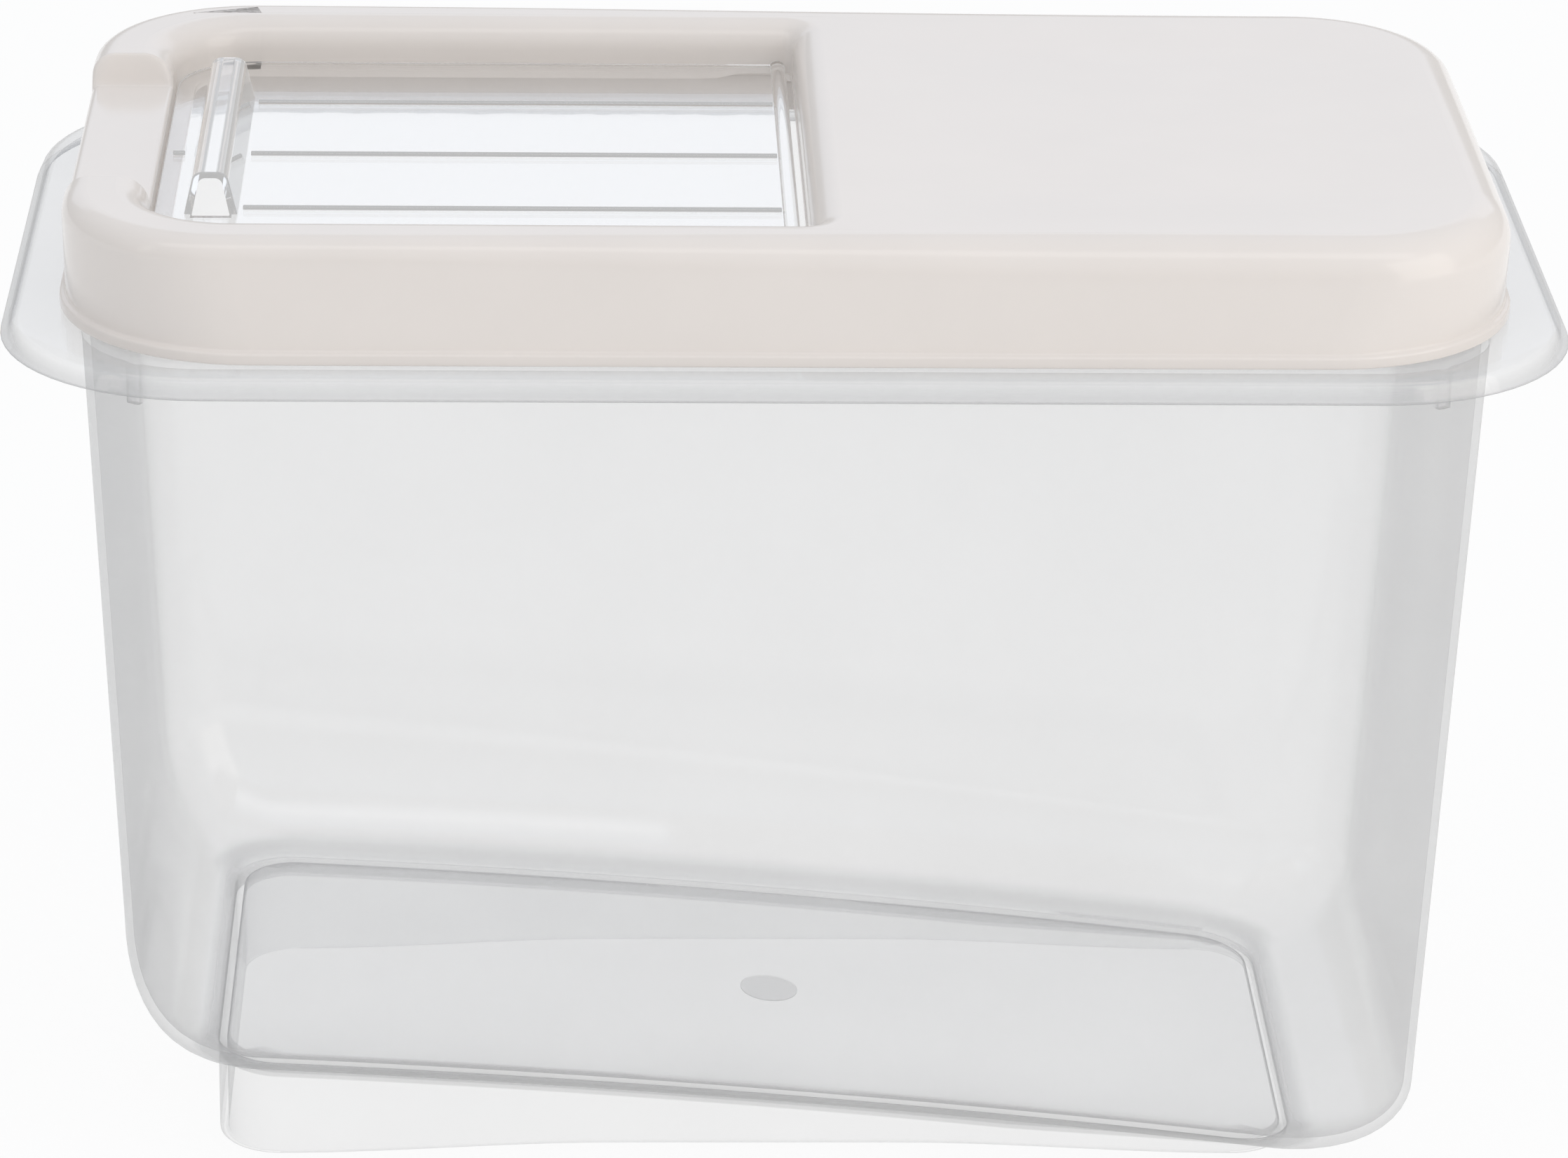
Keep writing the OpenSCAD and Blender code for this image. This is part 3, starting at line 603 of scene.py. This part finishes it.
class RICEBIN_OT_tub(bpy.types.Operator):
    """Builds the clear tub with its floor, foot, flange, rim, stacking ribs and gate mark"""

    bl_idname = "rice_bin.tub"
    bl_label = "Tub"

    def execute(self, context):
        s = context.scene.rice_bin_tub
        lid = context.scene.rice_bin_lid
        self.s, self.slots = s, make_slots(even_shares(SHORT_N + 2))
        lean = lid.side_lean * s.rim_h / (lid.top - s.seat - lid.edge_right)
        rim_in = lid.band_out + lid.wall + s.rim_gap + lean
        self.rim = (lid.half_l - rim_in, lid.half_w - rim_in, lid.corner - rim_in)
        tub = self.shell()
        for sx in (-1, 1):
            for sy in (-1, 1):
                combine(tub, self.stacking_rib(sx, sy), "UNION")
        combine(tub, self.gate_mark(), "UNION")
        self.mark_thick_places(tub.data)
        smooth(tub, SHELL_SHARP)
        dress(tub, clear_polypropylene(), "tub", "tub")
        return {"FINISHED"}

    def floor_z(self, x):
        s = self.s
        return s.floor_mid - x * math.tan(s.floor_tilt) - x * x / (2 * s.floor_bow)

    def wall_outline(self, z, inset):
        s = self.s
        d = (s.seat - z) * math.tan(s.draft) + inset
        return outline(self.slots, s.half_l - d, s.half_w - d, s.corner - d)

    def foot_outline(self, inset, part=1.0):
        s = self.s
        points = outline(self.slots, s.foot_l - inset, s.foot_w - inset, s.foot_corner - inset)
        return points * part + [s.foot_shift, 0]

    def wall_ring(self, z, inset):
        return raised(self.wall_outline(z, inset), z)

    def floor_ring(self, inset, part, lift):
        p = self.foot_outline(inset, part)
        return raised(p, self.floor_z(p[:, 0]) + lift)

    def foot_edge_ring(self, inset):
        """The foot's lower edge: its long sides arch up in the middle and come down to the corners."""
        s = self.s
        level, side, side_run = 0.3, 0.6, 0.3
        p = self.foot_outline(inset)
        u = np.abs(p[:, 0] - s.foot_shift) / (s.foot_l - s.foot_corner)
        v = np.abs(p[:, 1]) / s.foot_w
        arch = (1 - ease((u - level) / (1 - level))) * ease((v - side) / side_run)
        return raised(p, s.foot_arch * arch)

    def foot_ring(self, inset, part):
        """A ring part of the way down the foot."""
        return blend(self.floor_ring(inset, 1, 0), self.foot_edge_ring(inset), part)

    def foot_root_ring(self, inset, extra):
        """A ring at the lower end of the foot's thickened root, or a little below it."""
        ring = self.floor_ring(inset, 1, 0)
        ring[:, 2] -= self.foot_root(ring[:, 2]) + extra
        return ring

    def foot_root(self, foot_h):
        """Height of the thickened root, which takes up no more than a good third of a low foot."""
        return np.minimum(self.s.foot_root, 0.35 * foot_h)

    def round_ring(self, turn, lift, inset):
        """A ring on the rounding below the wall: turn is 0 at the foot, a right angle at the wall."""
        s = self.s
        f = self.foot_outline(inset)
        zf = self.floor_z(f[:, 0]) + lift
        rise = blend(s.round_left, s.round_right, 0.5 + f[:, 0] / (2 * s.foot_l)) - lift
        w = self.wall_outline(zf + rise, inset)
        return raised(blend(f, w, math.sin(turn)), blend(zf, zf + rise, 1 - math.cos(turn)))

    def flange_ring(self, out, drop):
        s = self.s
        p = outline(self.slots, s.flange_l + out, s.flange_w + out, s.flange_corner + out)
        return raised(p, s.seat - drop)

    def shoulder_ring(self, turn):
        """A ring on the flange's shoulder: turn is 0 at the skirt, a right angle at the top."""
        s = self.s
        out = s.flange_round * (math.cos(turn) - 1) + s.flange_lip
        return self.flange_ring(out, s.flange_round * (1 - math.sin(turn)))

    def rim_ring(self, inset, z):
        half_l, half_w, corner = self.rim
        return raised(outline(self.slots, half_l - inset, half_w - inset, corner - inset), z)

    def shell(self):
        """The whole section, each station with its fillet radius: from the middle of the floor's underside
        over foot, rounding, wall, flange and rim, and down the inside to the middle of the floor."""
        s = self.s
        under = s.seat - s.flange_t
        turns = [math.pi / 2 * i / 14 for i in range(1, 15)]
        heights = [0.12, 0.3, 0.5, 0.7, 0.88]
        start = self.round_ring(math.pi / 2, 0, 0)[:, 2]
        inner_start = self.round_ring(math.pi / 2, s.floor_t, s.wall)[:, 2]
        shares = [0.2, 0.45, 0.7, 0.88, 0.95]
        falls = [0.55, 0.75]
        edge = [math.pi / 2 * i / 6 for i in range(1, 7)]
        profile = [(self.floor_ring(s.foot_wall, k, 0), 0) for k in shares]
        profile += [
            (self.floor_ring(s.foot_wall, 1, 0), 1.0 * MM),
            (self.foot_root_ring(s.foot_wall, 0), 0),
            (self.foot_root_ring(s.foot_wall, 0.4 * MM), 0),
            *[(self.foot_ring(s.foot_wall, k), 0) for k in falls],
            (self.foot_edge_ring(s.foot_wall), 0.7 * MM),
            (self.foot_edge_ring(0), 0.9 * MM),
            *[(self.foot_ring(0, k), 0) for k in reversed(falls)],
            (self.foot_root_ring(0, 0.4 * MM), 0),
            (self.foot_root_ring(0, 0), 0),
            (self.floor_ring(0, 1, 0), 1.1 * MM),
        ]
        profile += [(self.round_ring(t, 0, 0), 0) for t in turns]
        profile += [(self.wall_ring(blend(start, under, h), 0), 0) for h in heights]
        profile += [
            (self.wall_ring(under, 0), 1.2 * MM),
            (self.flange_ring(-s.skirt_t, s.flange_t), 0.9 * MM),
            (self.flange_ring(s.skirt_flare - s.skirt_t, s.skirt_drop), 0.7 * MM),
            (self.flange_ring(s.skirt_flare, s.skirt_drop), 0.8 * MM),
        ]
        profile += [(self.shoulder_ring(t), 0) for t in edge]
        profile += [
            (self.rim_ring(0, s.seat), 0.9 * MM),
            (self.rim_ring(0, s.seat + s.rim_h), 0.9 * MM),
            (self.rim_ring(s.wall, s.seat + s.rim_h), 0.9 * MM),
            (self.rim_ring(s.wall, s.seat), 2.0 * MM),
            (self.wall_ring(under, s.wall), 0),
        ]
        profile += [
            (self.wall_ring(blend(inner_start, under, h), s.wall), 0) for h in reversed(heights)
        ]
        profile += [(self.round_ring(t, s.floor_t, s.wall), 0) for t in reversed(turns)]
        profile += [(self.floor_ring(s.wall, 1, s.floor_t), 1.5 * MM)]
        profile += [(self.floor_ring(s.wall, k, s.floor_t), 0) for k in reversed(shares)]
        mid = np.array([s.foot_shift, 0, self.floor_z(s.foot_shift)])
        return loft("tub_shell", rounded(profile), False, (mid, mid + [0, 0, s.floor_t]))

    def stacking_rib(self, sx, sy):
        s = self.s
        d = s.rib_drop * math.tan(s.draft)
        depth = s.rib_out + s.wall / 2
        tall = s.rib_drop - s.flange_t / 2
        turn = sy * s.rib_turn if sx > 0 else sy * (math.pi - s.rib_turn)
        corner = Vector((sx * (s.half_l - s.corner), sy * (s.half_w - s.corner), s.seat - s.rib_drop))
        reach = Vector((s.corner - d - s.wall / 2 + depth / 2, 0, tall / 2))
        place = Matrix.Translation(corner) @ Matrix.Rotation(turn, 4, "Z") @ Matrix.Translation(reach)
        return block("rib", (depth, s.rib_w, tall), 0.35 * MM, place)

    def mark_thick_places(self, mesh):
        """Stores how much thicker than the wall the plastic looks: 0 on the wall, and more where floor, wall
        and foot meet, on the foot's root, at the skirt's edge, on the stacking ribs and at the gate mark."""
        s = self.s
        solid, root = 1.0, 1.7
        meeting_side, meeting_long = 3 * MM, 4.5 * MM
        shift_side, shift_long = 1 * MM, 5 * MM
        p = np.empty(3 * len(mesh.vertices))
        mesh.vertices.foreach_get("co", p)
        x, y, z = p.reshape(-1, 3).T
        height = z - self.floor_z(x)
        beside = beyond(x - s.foot_shift, y, s.foot_l, s.foot_w, s.foot_corner)
        across = ease((np.abs(y) - s.foot_w + s.foot_corner) / s.foot_corner)
        reach = np.hypot(beside - blend(shift_side, shift_long, across), height)
        meeting = ease(1.35 - reach / blend(meeting_side, meeting_long, across))
        on_root = (np.abs(beside + s.foot_wall / 2) < 2 * MM) & (height < 0.2 * MM)
        on_root &= height > -self.foot_root(self.floor_z(x)) - 0.1 * MM
        skirt = np.abs(z - s.seat + s.skirt_drop) < 0.6 * MM
        d = (s.seat - z) * math.tan(s.draft)
        off_wall = beyond(x, y, s.half_l - d, s.half_w - d, s.corner - d)
        rib = (np.abs(z - s.seat + s.rib_drop) < 1 * MM) & (off_wall > 0.6 * MM)
        gate = (np.hypot(x, y) < s.gate_d / 2 + 0.1 * MM) & (height < -0.2 * MM)
        thick = mesh.attributes.new("thick", "FLOAT", "POINT")
        value = np.where(gate | rib | skirt, solid, np.where(on_root, root, meeting))
        thick.data.foreach_set("value", value)

    def gate_mark(self):
        s = self.s
        low = Vector((0, 0, self.floor_z(0)))
        down = Vector((-math.sin(s.floor_tilt), 0, -math.cos(s.floor_tilt)))
        return rod("gate", s.gate_d / 2, low - down * s.floor_t / 2, low + down * s.gate_t, 64, 0.2 * MM)


# The lid.


class RICEBIN_OT_lid(bpy.types.Operator):
    """Builds the white lid with its band, dish, finger saddle, window, ledge and hinge bosses"""

    bl_idname = "rice_bin.lid"
    bl_label = "Lid"

    def execute(self, context):
        s = context.scene.rice_bin_lid
        flap = context.scene.rice_bin_flap
        self.s = s
        self.seat = context.scene.rice_bin_tub.seat
        self.straight = s.window_w - s.window_corner
        # The window's left side has its own points, close together down the saddle's slopes.
        slope = [(s.saddle_w + s.saddle_slope * i / SLOPE_N) / self.straight for i in range(SLOPE_N + 1)]
        flat = np.linspace(-0.7, 0.7, 15) * s.saddle_w / self.straight
        ends = [0.97, 0.985]
        self.slots = make_slots(
            [-e for e in reversed(ends)] + [-u for u in reversed(slope)] + list(flat) + slope + ends
        )
        lid = self.shell(flap)
        for sy in (-1, 1):
            foot = Vector((HINGE[0], sy * s.window_w, HINGE[2]))
            along = Vector((0, sy, 0))
            start, end = foot + along * 0.2 * MM, foot + along * (flap.pin_l + s.boss_end)
            combine(lid, rod("boss", s.boss_r, start, end, 48, 0.4 * MM), "UNION")
            start, end = foot - along * s.window_small, foot + along * flap.pin_l
            combine(lid, rod("bore", flap.pin_r + flap.pin_gap, start, end), "DIFFERENCE")
        smooth(lid, SHELL_SHARP)
        dress(lid, white_polypropylene(), "lid", "lid_cover")
        return {"FINISHED"}

    def side_round(self, x):
        s = self.s
        left, right = s.window_left + s.hold_left, s.half_l - s.hold_right
        return blend(s.edge_left, s.edge_right, ease((x - left) / (right - left)))

    def saddle_at(self, x, y):
        s = self.s
        across = 1 - ease((np.abs(y) - s.saddle_w) / s.saddle_slope)
        return across * (1 - ease((x - s.window_left - 1 * MM) / s.saddle_run))

    def dish_at(self, x, y):
        s = self.s
        lead_in, lead_out, lead_side = 0.3, 0.25, 0.45
        start = s.window_right + s.window_round
        u = (x - start) / (s.half_l - s.band_out - s.edge_left - start)
        v = np.abs(y) / (s.half_w - s.band_out - s.side_lean - s.edge_left)
        return ease(u / lead_in) * ease((1 - u) / lead_out) * ease((1 - v) / lead_side)

    def crown_at(self, x, y):
        s = self.s
        return s.crown * (y / s.half_w) ** 2 * (1 + ease((x - s.window_left) / (2 * s.half_l)))

    def top_z(self, x, y):
        s = self.s
        dip = s.saddle_depth * self.saddle_at(x, y) + s.dish * self.dish_at(x, y)
        return s.top - dip - self.crown_at(x, y)

    def window_outline(self, out):
        s = self.s
        half_l = (s.window_right - s.window_left) / 2
        corners = np.array([s.window_small, s.window_corner, s.window_corner, s.window_small])
        if np.ndim(out):
            radii = np.maximum(corners[self.slots[:, 0].astype(int)] + out, LEAST_ROUND)
        else:
            radii = tuple(np.maximum(corners + out, LEAST_ROUND))
        points = outline(self.slots, half_l + out, s.window_w + out, radii)
        return points + [(s.window_right + s.window_left) / 2, 0]

    def side_outline(self, inset):
        s = self.s
        half_w = s.half_w - s.band_out - s.side_lean
        corner = half_w - self.straight
        return outline(self.slots, s.half_l - s.band_out - inset, half_w - inset, corner - inset)

    def skirt_ring(self, inset, z):
        s = self.s
        return raised(outline(self.slots, s.half_l - inset, s.half_w - inset, s.corner - inset), z)

    def edge_ring(self, turn, skin):
        """A ring on the outer rounding: turn is 0 at the top, a right angle at the side."""
        s = self.s
        full = self.side_round(self.side_outline(0)[:, 0])
        flat = self.side_outline(full)
        low = self.saddle_at(flat[:, 0], flat[:, 1])
        r = np.maximum(blend(full, s.saddle_round, low) - skin, LEAST_ROUND)
        p = self.side_outline(skin + r * (1 - math.sin(turn)))
        drop = s.saddle_depth * low + self.crown_at(flat[:, 0], flat[:, 1])
        return raised(p, s.top - drop - skin - r * (1 - math.cos(turn)))

    def window_edge_ring(self, turn, skin):
        """A ring on the window's rounding: turn is 0 at its wall, a right angle at the top."""
        s = self.s
        base = self.window_outline(0)
        low = self.saddle_at(base[:, 0], base[:, 1])
        r = blend(s.window_round, s.saddle_lip, low) - skin * (1 - low)
        p = self.window_outline(skin + r * (1 - math.cos(turn)))
        drop = s.saddle_depth * low + self.crown_at(base[:, 0], base[:, 1])
        return raised(p, s.top - drop - skin - r * (1 - math.sin(turn)))

    def top_ring(self, part, skin):
        p = blend(self.window_edge_ring(math.pi / 2, skin), self.edge_ring(0, skin), part)
        return raised(p[:, :2], self.top_z(p[:, 0], p[:, 1]) - skin)

    def ledge_ring(self, z):
        s = self.s
        base = self.window_outline(0)
        w = blend(s.ledge_w, s.ledge_hinge_w, ease((base[:, 0] - HINGE[0] + s.ledge_end) / s.ledge_taper))
        return raised(self.window_outline(-w), z)

    def shell(self, flap):
        s = self.s
        ledge_z = flap.top - flap.t - (s.low - self.seat)
        bend = [math.pi / 2 * i / 10 for i in range(11)]
        shares = [0.05, 0.12, 0.2, 0.28, 0.36, 0.44, 0.52, 0.6, 0.68, 0.76, 0.84, 0.91, 0.96]

        def top_rings(skin):
            """The stations over the top, from the window to the side, at a depth below the outer skin."""
            rings = [self.window_edge_ring(t, skin) for t in bend]
            rings += [self.top_ring(k, skin) for k in shares]
            rings += [self.edge_ring(t, skin) for t in bend]
            return [(ring, 0) for ring in rings]

        profile = [
            (self.ledge_ring(ledge_z - s.ledge_t), 0.5 * MM),
            (self.ledge_ring(ledge_z), 0.4 * MM),
            (raised(self.window_outline(0), ledge_z), 0.4 * MM),
            *top_rings(0),
            (self.skirt_ring(s.band_out, self.seat + s.band_h + s.band_slope), 0.5 * MM),
            (self.skirt_ring(0, self.seat + s.band_h), 0.5 * MM),
            (self.skirt_ring(0, s.low), 0.5 * MM),
            (self.skirt_ring(s.band_out + s.wall, s.low), 0.6 * MM),
            *reversed(top_rings(s.wall)),
            (raised(self.window_outline(s.wall), ledge_z - s.ledge_t), 0.6 * MM),
        ]
        return loft("lid_shell", rounded(profile, closed=True), True)


# The flap.


class RICEBIN_OT_flap(bpy.types.Operator):
    """Builds the clear flap with its hollow grip, beads, hinge barrel and pins"""

    bl_idname = "rice_bin.flap"
    bl_label = "Flap"

    def execute(self, context):
        s = context.scene.rice_bin_flap
        lid = context.scene.rice_bin_lid
        self.s = s
        self.half_w = lid.window_w - s.gap
        self.grip_x = s.left + s.grip_in
        edge = 0.3 * MM
        flap = self.panel(lid.window_corner - s.gap)
        combine(flap, self.grip("grip", 0, -s.t / 2, s.grip_l / 2, 0.45 * MM), "UNION")
        past = 1 * MM
        channel = self.grip("channel", s.grip_wall, -s.t - past, s.grip_l / 2 + past, 0)
        combine(flap, channel, "DIFFERENCE")
        bead_left = self.grip_x + s.grip_base / 2 + s.bead_r
        for i in range(s.bead_n):
            y = (i - (s.bead_n - 1) / 2) * s.bead_pitch
            start, end = (bead_left, y, s.top), (HINGE[0] - s.barrel_r, y, s.top)
            combine(flap, rod("bead", s.bead_r, start, end, 32, edge), "UNION")
        stub = (s.left + self.grip_x - s.grip_base / 2) / 2
        start, end = (stub - s.stub_l / 2, 0, s.top), (stub + s.stub_l / 2, 0, s.top)
        combine(flap, rod("stub", s.bead_r, start, end, 32, edge), "UNION")
        for name, radius, reach in (
            ("barrel", s.barrel_r, self.half_w),
            ("pins", s.pin_r, self.half_w + s.pin_l),
        ):
            start, end = (HINGE[0], -reach, HINGE[2]), (HINGE[0], reach, HINGE[2])
            combine(flap, rod(name, radius, start, end, 48, edge), "UNION")
        smooth(flap, FLAP_SHARP)
        dress(flap, clear_polystyrene(), "flap", "flip_flap")
        return {"FINISHED"}

    def panel(self, r):
        """The flat panel with round free corners and softly broken edges."""
        s = self.s
        corner_n = 24
        low = s.top - s.t
        points = [(HINGE[0], -self.half_w, low), (HINGE[0], self.half_w, low)]
        for quarter, side in ((1, self.half_w - r), (2, r - self.half_w)):
            for i in range(corner_n + 1):
                t = math.pi / 2 * (quarter + i / corner_n)
                points.append((s.left + r + r * math.cos(t), side + r * math.sin(t), low))
        return extrusion("flap_panel", points, (0, 0, s.t), 0.4 * MM)

    def grip_section(self, inset, low):
        """Half section of the grip from its foot to its top: leaning flank, round shoulder, flat top."""
        s = self.s
        shoulder_n = 10
        base, top = s.grip_base / 2 - inset, s.grip_top / 2 - inset
        r, h = s.grip_round - inset / 2, s.grip_h - inset
        lean = math.atan2(base - top, h - r - low)
        points = [(base, low)]
        for i in range(shoulder_n + 1):
            t = blend(lean, math.pi / 2, i / shoulder_n)
            points.append((top - r + r * math.cos(t), h - r + r * math.sin(t)))
        return points

    def grip(self, name, inset, low, half, edge):
        right = self.grip_section(inset, low)
        section = right + [(-x, z) for x, z in reversed(right)]
        points = [(self.grip_x + x, -half, self.s.top + z) for x, z in section]
        return extrusion(name, points, (0, 2 * half, 0), edge)


# The studio.

CAMERA_PLACE = (-0.05103, -1.51005, 0.75698)
CAMERA_TURN = (
    (0.99946461, -0.00294142, -0.03258582),
    (-0.02899684, 0.38168437, -0.92383777),
    (0.01515489, 0.92428804, 0.38139473),
)
CAMERA_LENS = 146.58
LAMP_TARGET = (0, 0, 0.15)


def area_lamp(name, size, watts, place, tint):
    lamp = bpy.data.lights.new(name, "AREA")
    lamp.shape = "RECTANGLE"
    lamp.size, lamp.size_y = size
    lamp.energy = watts
    lamp.color = hex_colour(tint)
    obj = bpy.data.objects.new(name, lamp)
    obj.location = place
    obj.rotation_euler = (Vector(LAMP_TARGET) - Vector(place)).to_track_quat("-Z", "Y").to_euler()
    bpy.context.scene.collection.objects.link(obj)


class RICEBIN_OT_stage(bpy.types.Operator):
    """Sets up the camera, the white floor, the pale world and the soft lamps"""

    bl_idname = "rice_bin.stage"
    bl_label = "Stage"

    def execute(self, context):
        self.camera(context.scene)
        self.floor(context.scene.rice_bin_studio)
        self.world(context.scene)
        self.lamps(context.scene.rice_bin_studio)
        context.scene.view_settings.view_transform = "Standard"
        return {"FINISHED"}

    def camera(self, scene):
        data = bpy.data.cameras.new("photo_camera")
        data.lens = CAMERA_LENS
        data.sensor_width = 36
        data.clip_start, data.clip_end = 0.05, 50
        camera = bpy.data.objects.new("photo_camera", data)
        camera.matrix_world = Matrix.Translation(CAMERA_PLACE) @ Matrix(CAMERA_TURN).to_4x4()
        scene.collection.objects.link(camera)
        scene.camera = camera

    def floor(self, studio):
        half = studio.floor_size / 2
        mesh = bpy.data.meshes.new("studio_floor")
        corners = [(-half, -half, 0), (half, -half, 0), (half, half, 0), (-half, half, 0)]
        mesh.from_pydata(corners, [], [(0, 1, 2, 3)])
        floor = bpy.data.objects.new("studio_floor", mesh)
        bpy.context.scene.collection.objects.link(floor)
        mesh.materials.append(studio_floor())

    def world(self, scene):
        """A pale surround: white where the lens looks, and as light dimmer at the horizon than above."""
        horizon, high = 0.05, 0.75
        dim, bright = 0.64, 0.94
        world = bpy.data.worlds.new("studio_world")
        world.use_nodes = True
        tree = world.node_tree
        tree.nodes.clear()
        place = add_node(tree, "TexCoord").outputs["Generated"]
        up = add_node(tree, "SeparateXYZ", None, {0: place}).outputs["Z"]
        height = add_node(
            tree, "MapRange",
            {"From Min": horizon, "From Max": high, "To Min": dim, "To Max": bright},
            {"Value": up}, interpolation_type="SMOOTHSTEP",
        )
        sky = scene.rice_bin_studio.sky
        strength = add_node(tree, "Math", {1: sky}, {0: height}, operation="MULTIPLY")
        tint = add_node(
            tree, "Mix", {6: (*hex_colour("#FFFDFA"), 1), 7: (*hex_colour("#EEF5FF"), 1)},
            {0: up}, data_type="RGBA",
        )
        path = add_node(tree, "LightPath")
        light = add_node(tree, "Background", None, {"Color": tint.outputs[2], "Strength": strength})
        white = add_node(tree, "Background", {"Color": (1, 1, 1, 1), "Strength": 1.0})
        mix = add_node(tree, "MixShader", None, {0: path.outputs["Is Camera Ray"], 1: light, 2: white})
        add_node(tree, "OutputWorld", None, {"Surface": mix})
        scene.world = world

    def lamps(self, studio):
        area_lamp("top_softbox", (1.4, 1.0), studio.top_lamp, (0, 0.4, 1.7), "#EEF5FF")
        area_lamp("front_softbox", (2.4, 0.5), studio.front_lamp, (0, -0.65, 1.75), "#FFFBF7")
        area_lamp("back_softbox", (3.2, 0.9), studio.back_lamp, (0, 2.2, 1.15), "#E8F0FF")
        area_lamp("left_strip", (0.2, 1.0), studio.left_lamp, (-1.5, -0.9, 0.9), "#FFF8F0")
        area_lamp("right_softbox", (1.3, 1.6), studio.right_lamp, (1.4, -1.0, 0.8), "#FFF8F0")


class RICEBIN_PT_panel(bpy.types.Panel):
    """Lists the steps that build the rice bin"""

    bl_idname = "RICEBIN_PT_panel"
    bl_label = "Rice bin"
    bl_space_type = "VIEW_3D"
    bl_region_type = "UI"
    bl_category = "Rice bin"

    def draw(self, context):
        for operator in OPERATORS:
            self.layout.operator(operator.bl_idname)


GROUPS = {
    "rice_bin_tub": RiceBinTub,
    "rice_bin_lid": RiceBinLid,
    "rice_bin_flap": RiceBinFlap,
    "rice_bin_finish": RiceBinFinish,
    "rice_bin_studio": RiceBinStudio,
}
OPERATORS = (RICEBIN_OT_stage, RICEBIN_OT_tub, RICEBIN_OT_lid, RICEBIN_OT_flap)


def register():
    for group in GROUPS.values():
        bpy.utils.register_class(group)
    for operator in OPERATORS:
        bpy.utils.register_class(operator)
    bpy.utils.register_class(RICEBIN_PT_panel)
    for name, group in GROUPS.items():
        setattr(bpy.types.Scene, name, PointerProperty(type=group))


def unregister():
    for name in GROUPS:
        delattr(bpy.types.Scene, name)
    bpy.utils.unregister_class(RICEBIN_PT_panel)
    for operator in OPERATORS:
        bpy.utils.unregister_class(operator)
    for group in GROUPS.values():
        bpy.utils.unregister_class(group)


def main():
    register()
    bpy.ops.rice_bin.stage()
    bpy.ops.rice_bin.tub()
    bpy.ops.rice_bin.lid()
    bpy.ops.rice_bin.flap()


if __name__ == "__main__":
    main()
